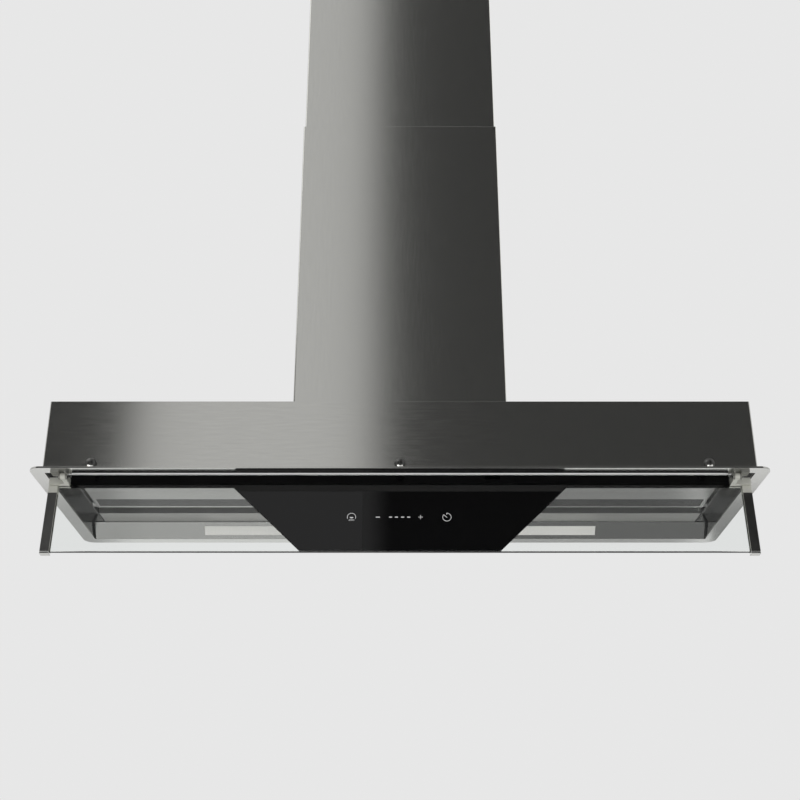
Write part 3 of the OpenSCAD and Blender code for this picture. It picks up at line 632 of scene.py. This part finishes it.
def meshAluminium(name, tones):
    # layers of expanded foil: diamond holes in rows, painted dark as painted shade for the depth seen
    # through them
    material, tree, shader = newMaterial(name)
    holes = tree.nodes.new("ShaderNodeTexVoronoi")
    holes.inputs["Scale"].default_value = 1
    holes.feature = "DISTANCE_TO_EDGE"
    tree.links.new(stretched(tree, (260, 420, 260)), holes.inputs["Vector"])
    strandWidth = 0.14
    strands = mathNode(tree, "LESS_THAN", holes.outputs["Distance"], strandWidth)
    toneBy(tree, shader, tones, strands)
    shader.inputs["Metallic"].default_value = 0.9
    shader.inputs["Roughness"].default_value = 0.35
    bumpInto(tree, shader, strands, strength=0.5, distance=0.0008)
    return material


def circuitBoard(name):
    # white solder mask with pale traces
    material, tree, shader = newMaterial(name)
    cells = tree.nodes.new("ShaderNodeTexBrick")
    cells.inputs["Scale"].default_value = 60
    cells.inputs["Color1"].default_value = (0.78, 0.78, 0.72, 1)
    cells.inputs["Color2"].default_value = (0.7, 0.68, 0.5, 1)
    cells.inputs["Mortar"].default_value = (0.55, 0.55, 0.5, 1)
    tree.links.new(objectPlace(tree), cells.inputs["Vector"])
    tree.links.new(cells.outputs["Color"], shader.inputs["Base Color"])
    shader.inputs["Roughness"].default_value = 0.3
    return material


finishTones = {              # darker and lighter tone of each finish
    "sheet": ((0.45, 0.45, 0.43), (0.53, 0.53, 0.505)),
    "tray": ((0.42, 0.42, 0.41), (0.5, 0.5, 0.485)),
    # painted reflection: near-black tone for the tray's side walls and side ledges
    "paintedDarkTraySide": ((0.08, 0.08, 0.078), (0.11, 0.11, 0.107)),
    "lampSteel": ((0.42, 0.42, 0.41), (0.48, 0.48, 0.47)),
    # painted shade: near-black tone for inside the suction panel's finger groove
    "groove": ((0.038, 0.038, 0.037), (0.054, 0.054, 0.052)),
    "rim": ((0.9, 0.9, 0.88), (0.96, 0.96, 0.94)),
    "chrome": ((0.8, 0.8, 0.78), (0.88, 0.88, 0.86)),
    "trim": ((0.9, 0.9, 0.89), (0.96, 0.96, 0.95)),
    "cap": ((0.07, 0.07, 0.068), (0.1, 0.1, 0.097)),
    "zinc": ((0.42, 0.44, 0.46), (0.6, 0.62, 0.63)),
    "screw": ((0.3, 0.3, 0.3), (0.42, 0.42, 0.41)),
    "graphite": ((0.12, 0.12, 0.117), (0.16, 0.16, 0.156)),
    "pale": ((0.52, 0.52, 0.47), (0.62, 0.62, 0.57)),
    "clamp": ((0.24, 0.24, 0.22), (0.3, 0.3, 0.275)),
    "film": ((0.0018, 0.0018, 0.002), (0.003, 0.003, 0.0032)),
    "blackGlass": ((0.0016, 0.0016, 0.0018), (0.0026, 0.0026, 0.0028)),
    "window": ((0.0004, 0.0004, 0.0004), (0.0008, 0.0008, 0.0008)),
    "symbol": ((0.66, 0.66, 0.66), (0.74, 0.74, 0.74)),
    "black": ((0.018, 0.018, 0.019), (0.035, 0.035, 0.036)),
    "grey": ((0.2, 0.21, 0.22), (0.3, 0.31, 0.32)),
    "white": ((0.7, 0.7, 0.68), (0.82, 0.82, 0.8)),
    "rubber": ((0.012, 0.012, 0.012), (0.03, 0.03, 0.03)),
    "lens": ((0.55, 0.54, 0.52), (0.62, 0.61, 0.59)),
    # the darker tone is painted shade in the mesh's holes
    "filterMesh": ((0.1, 0.1, 0.1), (0.75, 0.75, 0.74)),
    "filterFrame": ((0.66, 0.66, 0.66), (0.78, 0.78, 0.78)),
    "castAluminium": ((0.45, 0.45, 0.46), (0.6, 0.6, 0.61)),
}
finish = {
    "canopy": brushedSteel("canopySteel", "round", finishTones["sheet"], rough=(0.1, 0.16),
                           bump=0.03, strength=1.6),
    "chimney": brushedSteel("chimneySteel", "up", finishTones["sheet"], rough=(0.1, 0.16),
                            bump=0.03),
    "tray": brushedSteel("traySteel", "round", finishTones["tray"], rough=(0.08, 0.14),
                         bump=0.02, strength=0.6),
    "trayPan": brushedSteel("trayPanSteel", "x", finishTones["tray"], rough=(0.36, 0.44),
                            bump=0.02, strength=0.6),
    "paintedDarkTraySide": brushedSteel("paintedDarkTrayWallSteel", "y", finishTones["paintedDarkTraySide"], rough=(0.06, 0.1),
                             bump=0.01, strength=0.6),
    "lampSteel": brushedSteel("lampSteel", "x", finishTones["lampSteel"], rough=(0.14, 0.2),
                              bump=0.02, strength=0.6),
    "groove": brushedSteel("paintedShadeGrooveSteel", "x", finishTones["groove"], rough=(0.2, 0.3), bump=0.03),
    "rim": cloudyMetal("polishedRim", finishTones["rim"], rough=(0.09, 0.14), patch=8.0, bump=0.01),
    "chrome": cloudyMetal("polishedTrim", finishTones["chrome"], rough=(0.03, 0.08)),
    "trim": satinTrim("satinTrim", finishTones["trim"], rough=(0.3, 0.4)),
    "cap": cloudyMetal("darkCap", finishTones["cap"], rough=(0.26, 0.34), patch=60.0),
    "zinc": galvanised("zincSheet", finishTones["zinc"], rough=(0.32, 0.5)),
    "screw": cloudyMetal("screwSteel", finishTones["screw"], rough=(0.25, 0.4), patch=200.0),
    "graphite": cloudyMetal("graphiteArm", finishTones["graphite"], rough=(0.3, 0.4)),
    "pale": castMetal("paleCasting", finishTones["pale"], rough=(0.3, 0.42), metallic=0.4),
    "clamp": castMetal("clampCasting", finishTones["clamp"], rough=(0.3, 0.42), metallic=0.6),
    "glass": clearGlass("visorGlass", tint=(0.93, 0.95, 0.94)),
    "film": printedInk("blackPrint", finishTones["film"]),
    "blackGlass": blackGlass("blackGlass", finishTones["blackGlass"]),
    "window": printedInk("darkWindow", finishTones["window"]),
    "symbol": printedInk("greyPrint", finishTones["symbol"]),
    "black": moulded("blackPlastic", finishTones["black"], rough=(0.4, 0.55)),
    "grey": moulded("greyPlastic", finishTones["grey"], rough=(0.4, 0.55)),
    "white": moulded("whitePlastic", finishTones["white"], rough=(0.35, 0.5)),
    "rubber": moulded("softRubber", finishTones["rubber"], rough=(0.65, 0.85)),
    "lens": frosted("opalLens", finishTones["lens"]),
    "board": circuitBoard("circuitBoard"),
    "filterMesh": meshAluminium("expandedAluminium", finishTones["filterMesh"]),
    "filterFrame": brushedSteel("filterAluminium", "x", finishTones["filterFrame"], rough=(0.25, 0.4)),
    "castAluminium": cloudyMetal("motorCasting", finishTones["castAluminium"], rough=(0.4, 0.55),
                                 patch=60.0, bump=0.2, bumpScale=900.0),
}
print("materials built:", len(finish))

nodeFinish = {
    "canopy": ["canopy_shell"],
    "chimney": ["upper_chimney", "lower_chimney"],
    "tray": ["suction_panel"],
    "trayPan": ["tray_liner"],
    "lampSteel": ["lamp_panel"],
    "rim": ["rim_frame"],
    "chrome": ["arm_caps", "hinge_pins", "motor_shaft", "damper_rod"],
    "trim": ["top_trim"],
    "cap": ["cap_screws"],
    "zinc": ["ceiling_plate", "upper_posts", "lower_posts", "tie_rings", "base_ring", "blower_box",
             "anchor_washers", "motor_bracket", "magnet_posts", "lamp_housings"],
    "screw": ["post_screws", "cap_nuts", "panel_magnets", "panel_pins", "leaf_screws"],
    "graphite": ["side_arms"],
    "pale": ["hinge_blocks", "arm_heads"],
    "clamp": ["hinge_leaves"],
    "glass": ["glass_panel"],
    "film": ["control_film"],
    "black": ["touch_board", "cable_gland", "latch_left", "latch_right", "control_lid"],
    "rubber": ["motor_mounts", "sleeve_pads"],
    "grey": ["scroll_left", "scroll_right", "fan_wheel", "outlet_adapter", "duct_collar",
             "damper_front", "damper_rear", "control_box"],
    "white": ["led_driver", "capacitor", "terminal_block"],
    "lens": ["lamp_lenses"],
    "board": ["led_boards"],
    "filterMesh": ["filter_meshes"],
    "filterFrame": ["filter_frames"],
    "castAluminium": ["motor"],
}
finishOf = {name: finish[key] for key, names in nodeFinish.items() for name in names}
for name, material in finishOf.items():
    for slot in nodes[name].material_slots:
        slot.material = material
print("pieces without a finish:", sorted(set(nodes) - set(finishOf)))


def finishCopy(piece, nodeName):
    piece.data.materials.clear()
    piece.data.materials.append(finishOf[nodeName])
    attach(piece, nodes[nodeName]["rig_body"])
    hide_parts(nodeName)


def paintPicked(piece):
    # gives the selected faces the piece's last finish
    piece.active_material_index = len(piece.data.materials) - 1
    bpy.ops.object.material_slot_assign()
    stopEditing()


def paintFaces(piece, key, test):
    piece.data.materials.append(finish[key])
    pickFaces(piece, test)
    paintPicked(piece)


# edges of the visible sheet and castings

edgeWork = {                 # node: piece, width of the broken edge in metres, steps
    "canopy_shell": ("canopy_skin", 0.001, 3),
    "lower_chimney": ("lower_sleeve", 0.0004, 2),
    "upper_chimney": ("upper_sleeve", 0.0004, 2),
    "hinge_blocks": ("hinge_clamps", 0.0006, 2),
    "hinge_leaves": ("hinge_plates", 0.0005, 2),
    "arm_heads": ("arm_collars", 0.0006, 2),
    "arm_caps": ("arm_feet", 0.0006, 2),
    "glass_panel": ("visor_glass", 0.0005, 2),
}
for name, (pieceName, width, steps) in edgeWork.items():
    piece = mergedCopy(name, pieceName)
    roundEdges(piece, width, steps)
    finishCopy(piece, name)
print("edges broken on", len(edgeWork), "pieces")


# rim: a brushed lip like the canopy, and a polished underside

rimWork = {
    "edge": 0.0003,
    "level": 0.5,            # a face that looks up or down more than this isn't part of the lip
}


def buildRim():
    piece = mergedCopy("rim_frame", "rim_flange")
    roundEdges(piece, rimWork["edge"])
    finishCopy(piece, "rim_frame")
    paintFaces(piece, "canopy", lambda face: abs(face.normal.z) < rimWork["level"])


buildRim()
print("rim built")


# side arms: dark faces, with the sideways faces painted bright as a painted highlight

armWork = {
    "edge": 0.0006,
    "sideways": 0.9,         # a face whose normal points sideways more than this gets the painted highlight
}


def buildArms():
    piece = mergedCopy("side_arms", "arm_rails")
    roundEdges(piece, armWork["edge"])
    finishCopy(piece, "side_arms")
    # painted highlight: both sideways faces of each arm get the pale finish
    paintFaces(piece, "pale", lambda face: abs(face.normal.x) > armWork["sideways"])


buildArms()
print("side arms built")


# cap screws: dark domes, with a painted highlight low on each dome's front, next to the rim

capWork = {
    "radius": 0.007,
    "edge": 0.0004,
    "highlightBelow": 0.5,      # shares of the radius
    "highlightWithin": 0.45,
    "highlightDepth": 0.006,
}


def buildCaps():
    piece = mergedCopy("cap_screws", "cap_domes")
    roundEdges(piece, capWork["edge"])
    finishCopy(piece, "cap_screws")
    vertices = piece.data.vertices
    front = min(vertex.co.y for vertex in vertices)
    middle = sum(vertex.co.z for vertex in vertices) / len(vertices)
    lowX = min(vertex.co.x for vertex in vertices) + capWork["radius"]
    highlightTop = middle - capWork["radius"] * capWork["highlightBelow"]
    highlightReach = capWork["radius"] * capWork["highlightWithin"]
    highlightRear = front + capWork["highlightDepth"]

    # faces low on each dome's front, which get the painted highlight
    def paintedHighlight(face):
        x, y, z = face.center
        near = min(abs(x - capX) for capX in (lowX, 0, -lowX)) < highlightReach
        return near and y < highlightRear and z < highlightTop

    # painted highlight: the bright polished finish on the lower front of each dark dome
    paintFaces(piece, "chrome", paintedHighlight)


buildCaps()
print("cap screws built")


# lamp panel: it stops short of the tray's side walls, which leaves a dark joint

lampPanelWork = {
    "joint": 0.002,
    "within": 0.0005,        # how near the end a vertex must lie to move with it
    "edge": 0.0003,
}


def buildLampPanel():
    piece = mergedCopy("lamp_panel", "lamp_strip")
    end = max(vertex.co.x for vertex in piece.data.vertices) - lampPanelWork["within"]
    for side in (-1, 1):
        way = (-side * lampPanelWork["joint"], 0, 0)
        moveVertices(piece, lambda place: place.x * side > end, way)
    roundEdges(piece, lampPanelWork["edge"])
    finishCopy(piece, "lamp_panel")


buildLampPanel()
print("lamp panel built")


# tray: polished side walls and side ledges painted dark as a painted reflection, each set off by an
# open seam whose floor is painted black as painted shade

trayWork = {
    "sideLedge": 0.0165,     # level ledge along each side wall
    "seam": 0.0018,
    "seamDepth": 0.0005,
    "seamWall": 0.0001,
    "seamFloor": (0.001, 0.002),    # between these heights above the suction panel's underside
    "ledgeWithin": 0.002,    # how far a ledge may lie from the suction panel's underside
    "downwards": -0.99,
    "sideways": 0.9,
    "edge": 0.0001,
}


def buildTray():
    piece = mergedCopy("tray_liner", "tray_pan")
    reach = max(vertex.co.x for vertex in piece.data.vertices)
    seamOuter = reach - trayWork["sideLedge"]
    seamInner = seamOuter - trayWork["seam"]
    panelLow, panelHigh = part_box("suction_panel")
    panelFront, panelRear, underside = panelLow[1], panelHigh[1], panelLow[2]
    floorLow, floorHigh = (underside + height for height in trayWork["seamFloor"])

    def onLedge(face):
        near = abs(face.center.z - underside) < trayWork["ledgeWithin"]
        return near and face.normal.z < trayWork["downwards"]

    def onSeam(face):
        beside = seamInner < abs(face.center.x) < seamOuter
        return onLedge(face) and beside and not panelFront < face.center.y < panelRear

    def onSide(face):
        wall = abs(face.normal.x) > trayWork["sideways"]
        return wall or (onLedge(face) and abs(face.center.x) > seamOuter)

    def inSeam(face):
        sunk = floorLow < face.center.z < floorHigh and face.normal.z < trayWork["downwards"]
        return sunk and seamInner < abs(face.center.x) < seamOuter

    for x in (-seamOuter, -seamInner, seamInner, seamOuter):
        cutFaces(piece, onLedge, (x, 0, 0), (1, 0, 0))
    pickFaces(piece, onSeam)
    bpy.ops.mesh.inset(thickness=trayWork["seamWall"], depth=-trayWork["seamDepth"])
    stopEditing()
    finishCopy(piece, "tray_liner")
    # painted reflection: the side walls and side ledges get the near-black steel
    paintFaces(piece, "paintedDarkTraySide", onSide)
    # painted shade: the floor of each open seam is painted black
    paintFaces(piece, "black", inSeam)
    roundEdges(piece, trayWork["edge"])


buildTray()
print("tray built")


# suction panel: a finger groove runs along its rear edge, painted dark inside as painted shade

panelWork = {
    "grooveFront": 0.0335,   # in front of the panel's rear edge
    "grooveRear": 0.0035,
    "side": 0.004,
    "depth": 0.0007,
    "wall": 0.0005,
    "within": 0.0001,        # how near the underside a face must lie
    "downwards": -0.99,
    "edge": 0.0002,
}


def buildSuctionTray():
    piece = mergedCopy("suction_panel", "suction_tray")
    low = [min(vertex.co[axis] for vertex in piece.data.vertices) for axis in range(3)]
    high = [max(vertex.co[axis] for vertex in piece.data.vertices) for axis in range(3)]
    left, right = low[0] + panelWork["side"], high[0] - panelWork["side"]
    front, rear = high[1] - panelWork["grooveFront"], high[1] - panelWork["grooveRear"]
    underside = low[2] + panelWork["within"]

    def isUnder(face):
        return face.center.z < underside and face.normal.z < panelWork["downwards"]

    def inGroove(face):
        x, y, z = face.center
        return z < underside and left < x < right and front < y < rear

    for x in (left, right):
        cutFaces(piece, isUnder, (x, 0, 0), (1, 0, 0))
    for y in (front, rear):
        cutFaces(piece, isUnder, (0, y, 0), (0, 1, 0))
    finishCopy(piece, "suction_panel")
    # painted shade: the groove's faces get the near-black groove steel
    piece.data.materials.append(finish["groove"])
    pickFaces(piece, inGroove)
    bpy.ops.mesh.inset(thickness=panelWork["wall"], depth=-panelWork["depth"])
    paintPicked(piece)
    roundEdges(piece, panelWork["edge"])


buildSuctionTray()
print("suction panel built")


# the leaning glass of the visor, which the trim, the ink and the marks follow

visorPlane = {
    "foot": (0, -0.114, -0.950),
    "lean": 4,               # degrees back from upright
    "glassFront": 0.0025,    # in front of the glass's middle
}


def visorAxes():
    # up along the glass, and straight out of its front
    lean = math.radians(visorPlane["lean"])
    up = Vector((0, math.sin(lean), math.cos(lean)))
    front = Vector((0, -math.cos(lean), math.sin(lean)))
    return up, front


def distanceAlong(place, axis):
    return (place - Vector(visorPlane["foot"])).dot(axis)


def onVisor(depth):
    # turns a flat drawing (x across, y up) onto the visor, at a distance in front of its middle
    up, front = visorAxes()
    place = Matrix((Vector((1, 0, 0)), up, front)).transposed().to_4x4()
    place.translation = Vector(visorPlane["foot"]) + front * depth
    return place


# trim along the glass: its two legs stop short of the CAD piece's

trimWork = {
    "shorter": 0.0015,
    "lower": 0.0011,
    "within": 0.0002,        # how near the end a vertex must lie to move with it
    "edge": 0.0002,
}


def buildTrim():
    piece = mergedCopy("top_trim", "glass_trim")
    up = visorAxes()[0]
    heights = [distanceAlong(vertex.co, up) for vertex in piece.data.vertices]
    bottom = min(heights) + trimWork["within"]
    top = max(heights) - trimWork["within"]
    moveVertices(piece, lambda place: distanceAlong(place, up) < bottom, up * trimWork["shorter"])
    moveVertices(piece, lambda place: distanceAlong(place, up) > top, -up * trimWork["lower"])
    roundEdges(piece, trimWork["edge"])
    finishCopy(piece, "top_trim")


buildTrim()
print("trim built")


# black print on the back of the glass

inkWork = {
    "forward": 0.00015,      # its front face lies a hair inside the glass
    "underTrim": 0.0004,     # how far it reaches up behind the trim
    "topWithin": 0.0008,
}


def buildInkLayer():
    piece = mergedCopy("control_film", "ink_layer")
    up, front = visorAxes()
    pickWhole(piece)
    bpy.ops.transform.translate(value=front * inkWork["forward"])
    stopEditing()
    top = max(vertex.co.z for vertex in piece.data.vertices) - inkWork["topWithin"]
    raised = trimWork["shorter"] + inkWork["underTrim"]
    moveVertices(piece, lambda place: place.z > top, up * raised)
    finishCopy(piece, "control_film")


buildInkLayer()
print("ink layer built")


# the polished face of the glass over the print, as thin as a coat of lacquer

skinWork = {
    "back": 0.00003,         # in front of the glass
    "front": 0.0001,
}


def buildGlassSkin():
    piece = mergedCopy("control_film", "black_glass")
    axis = visorAxes()[1]
    depths = [distanceAlong(vertex.co, axis) for vertex in piece.data.vertices]
    back, front = min(depths), max(depths)
    middle = (back + front) / 2
    shiftFront = visorPlane["glassFront"] + skinWork["front"] - front
    shiftBack = visorPlane["glassFront"] + skinWork["back"] - back
    moveVertices(piece, lambda place: distanceAlong(place, axis) > middle, axis * shiftFront)
    moveVertices(piece, lambda place: distanceAlong(place, axis) < middle, axis * shiftBack)
    piece.data.materials.clear()
    piece.data.materials.append(finish["blackGlass"])
    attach(piece, "visor")


buildGlassSkin()
print("black glass built")


# flat shapes for the marks on the glass

markWork = {
    "thickness": 0.00008,
    "proud": 0.00022,        # in front of the glass
    "ringSteps": 60,
    "bowlSteps": 32,
    "cornerShare": 0.3,      # of a bar's narrow side
    "cornerSteps": 3,
}


def flatDisc(x, y, radius, steps):
    deselectAll()
    bpy.ops.mesh.primitive_circle_add(
        vertices=steps,
        radius=radius,
        fill_type="NGON",
        location=(x, y, 0),
    )
    bpy.ops.object.transform_apply(location=True, rotation=True, scale=True)
    return bpy.context.object


def flatRing(x, y, radius, line, gap):
    piece = flatDisc(x, y, radius, markWork["ringSteps"])
    pickWhole(piece)
    bpy.ops.mesh.inset(thickness=line)
    bpy.ops.mesh.delete(type="FACE")
    stopEditing()

    def inGap(face):
        angle = math.degrees(math.atan2(face.center.y - y, face.center.x - x)) % 360
        return gap[0] < angle < gap[1]

    pickFaces(piece, inGap)
    bpy.ops.mesh.delete(type="FACE")
    stopEditing()
    return piece


def flatBar(x, y, width, height, turn=0.0):
    deselectAll()
    turned = (0, 0, math.radians(turn))
    bpy.ops.mesh.primitive_plane_add(size=1, location=(x, y, 0), rotation=turned)
    piece = bpy.context.object
    piece.scale = (width, height, 1)
    bpy.ops.object.transform_apply(location=True, rotation=True, scale=True)
    pickWhole(piece)
    corner = min(width, height) * markWork["cornerShare"]
    bpy.ops.mesh.bevel(offset=corner, segments=markWork["cornerSteps"], affect="VERTICES")
    stopEditing()
    return piece


def lampBowl(x, y, width, depth):
    # half disc with its flat side up
    piece = flatDisc(x, y, width / 2, markWork["bowlSteps"])
    pickWhole(piece)
    bpy.ops.mesh.bisect(plane_co=(x, y, 0), plane_no=(0, 1, 0), clear_outer=True, use_fill=False)
    bpy.ops.mesh.select_all(action="SELECT")
    bpy.ops.transform.resize(value=(1, 2 * depth / width, 1), center_override=(x, y, 0))
    stopEditing()
    return piece


def joinPieces(pieces):
    deselectAll()
    for piece in pieces:
        piece.select_set(True)
    bpy.context.view_layer.objects.active = pieces[0]
    bpy.ops.object.join()
    return bpy.context.object


def layOnGlass(piece, name, key):
    # thickens a flat drawing and moves its mesh to its place, so the object stays at the origin
    workOn(piece)
    solid = piece.modifiers.new("thickness", "SOLIDIFY")
    solid.thickness = markWork["thickness"]
    bpy.ops.object.modifier_apply(modifier="thickness")
    place = onVisor(visorPlane["glassFront"] + markWork["proud"])
    piece.data.transform(place @ piece.matrix_world)
    piece.matrix_world = Matrix.Identity(4)
    piece.name = name
    piece.data.name = name
    piece.data.materials.append(finish[key])
    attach(piece, "visor")


# touch symbols: light, less, four dashes, more and timer

symbolWork = {
    "row": -0.0518,          # height of the row above the foot
    "radius": 0.0054,
    "line": 0.0006,
    "lampX": -0.0588,
    "lampGap": (204, 336),   # degrees
    "bowlWidth": 0.0046,
    "bowlDepth": 0.0016,
    "rays": (-0.0028, -0.0014, 0, 0.0014, 0.0028),
    "rayY": -0.0038,
    "raySize": (0.0005, 0.002),
    "rayFan": 9000,          # degrees of turn for each metre from the middle
    "lessX": -0.0269,
    "lessSize": (0.0052, 0.0011),
    "dashX": (-0.0115, -0.0043, 0.0032, 0.0105),
    "dashSize": (0.0038, 0.0012),
    "moreX": 0.025,
    "moreSize": (0.0054, 0.0006),
    "timerX": 0.0569,
    "timerGap": (94, 138),   # degrees
    "timerBars": [           # x, y, width, height, turn in degrees
        (-0.0002, 0.0044, 0.0007, 0.0022, 0),
        (-0.0017, 0.0012, 0.0052, 0.0007, 137),
    ],
}


def buildSymbols():
    row, radius, line = symbolWork["row"], symbolWork["radius"], symbolWork["line"]
    lampX, moreX, timerX = symbolWork["lampX"], symbolWork["moreX"], symbolWork["timerX"]
    drawn = [
        flatRing(lampX, row, radius, line, symbolWork["lampGap"]),
        lampBowl(lampX, row, symbolWork["bowlWidth"], symbolWork["bowlDepth"]),
        flatBar(symbolWork["lessX"], row, *symbolWork["lessSize"]),
        flatBar(moreX, row, *symbolWork["moreSize"]),
        flatBar(moreX, row, *symbolWork["moreSize"][::-1]),
        flatRing(timerX, row, radius, line, symbolWork["timerGap"]),
    ]
    for x, y, width, height, turn in symbolWork["timerBars"]:
        drawn.append(flatBar(timerX + x, row + y, width, height, turn))
    for x in symbolWork["rays"]:
        turn = x * symbolWork["rayFan"]
        drawn.append(flatBar(lampX + x, row + symbolWork["rayY"], *symbolWork["raySize"], turn))
    for x in symbolWork["dashX"]:
        drawn.append(flatBar(x, row, *symbolWork["dashSize"]))
    layOnGlass(joinPieces(drawn), "touch_symbols", "symbol")


buildSymbols()
print("touch symbols built")


# receiver's window, to the right of the symbols

windowWork = {
    "x": 0.1138,
    "y": 0.001,
    "width": 0.0185,
    "height": 0.0047,
}


def buildReceiverWindow():
    piece = flatBar(windowWork["x"], windowWork["y"], windowWork["width"], windowWork["height"])
    layOnGlass(piece, "receiver_window", "window")


buildReceiverWindow()
print("receiver window built")
